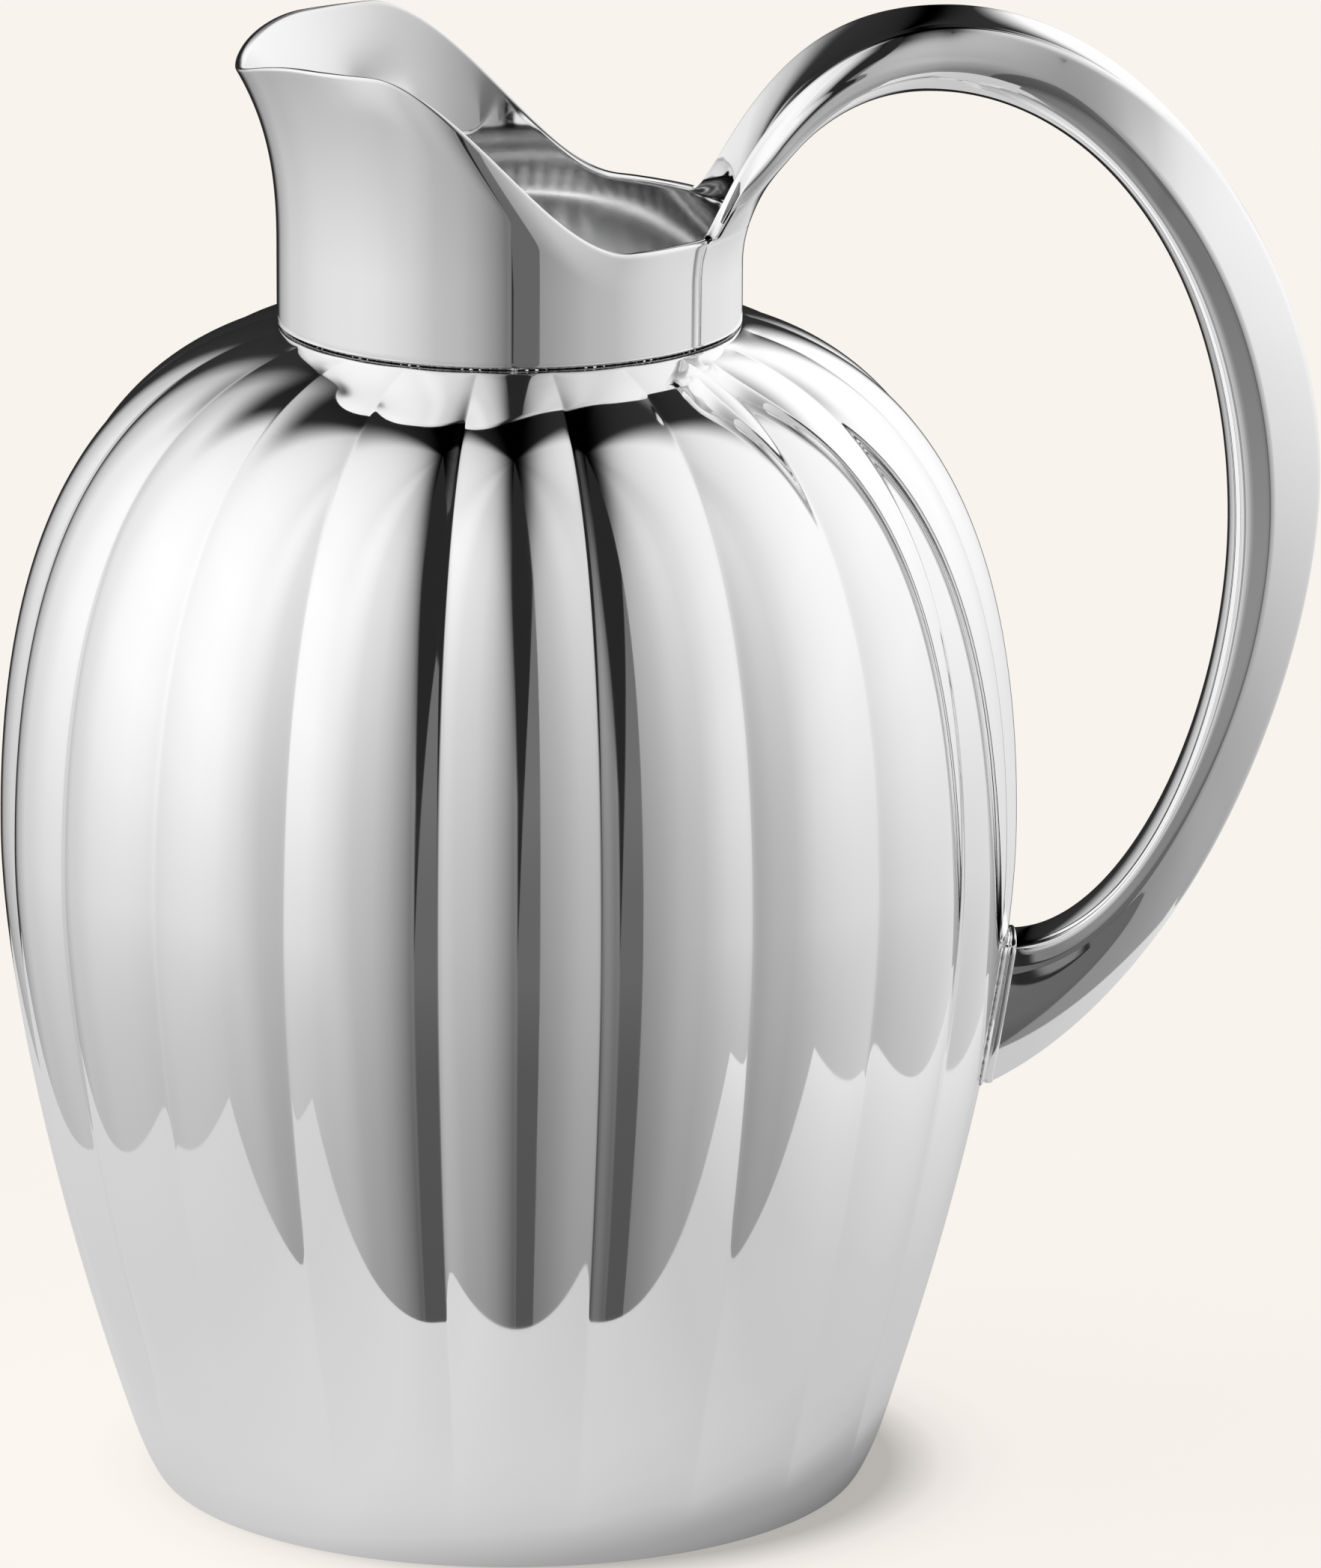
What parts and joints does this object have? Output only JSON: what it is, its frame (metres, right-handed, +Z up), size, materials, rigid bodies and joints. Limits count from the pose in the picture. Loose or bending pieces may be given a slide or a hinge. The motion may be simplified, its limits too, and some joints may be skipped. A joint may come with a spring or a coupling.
{
  "type": "water pitcher",
  "caption": "Polished metal water pitcher with a fluted egg-shaped belly, a smooth collar with a swept spout, and a hollow loop handle.",
  "frame": {"origin": "centre of the flat base, on the axis of the belly, on the surface the pitcher stands on", "axes": "+Z up along the belly's axis, +X toward the handle, -X toward the spout, Y across"},
  "size_m": [0.194, 0.15, 0.2192],
  "materials": {
    "polished_steel": "mirror polished stainless steel",
    "satin_base": "fine satin, lightly scuffed where it stands",
    "weld_steel": "dull, partly polished weld"
  },
  "bodies": {
    "root": {"body_shell": "polished_steel", "base_pan": "satin_base", "base_seam_weld": "weld_steel", "neck_collar": "polished_steel", "neck_seam_weld": "weld_steel", "handle_back_plate": "polished_steel", "handle_inner_channel": "polished_steel", "handle_left_seam": "polished_steel", "handle_right_seam": "polished_steel", "handle_root_braze": "polished_steel", "handle_foot_saddle": "polished_steel", "handle_foot_braze": "weld_steel"}
  },
  "joints": []
}
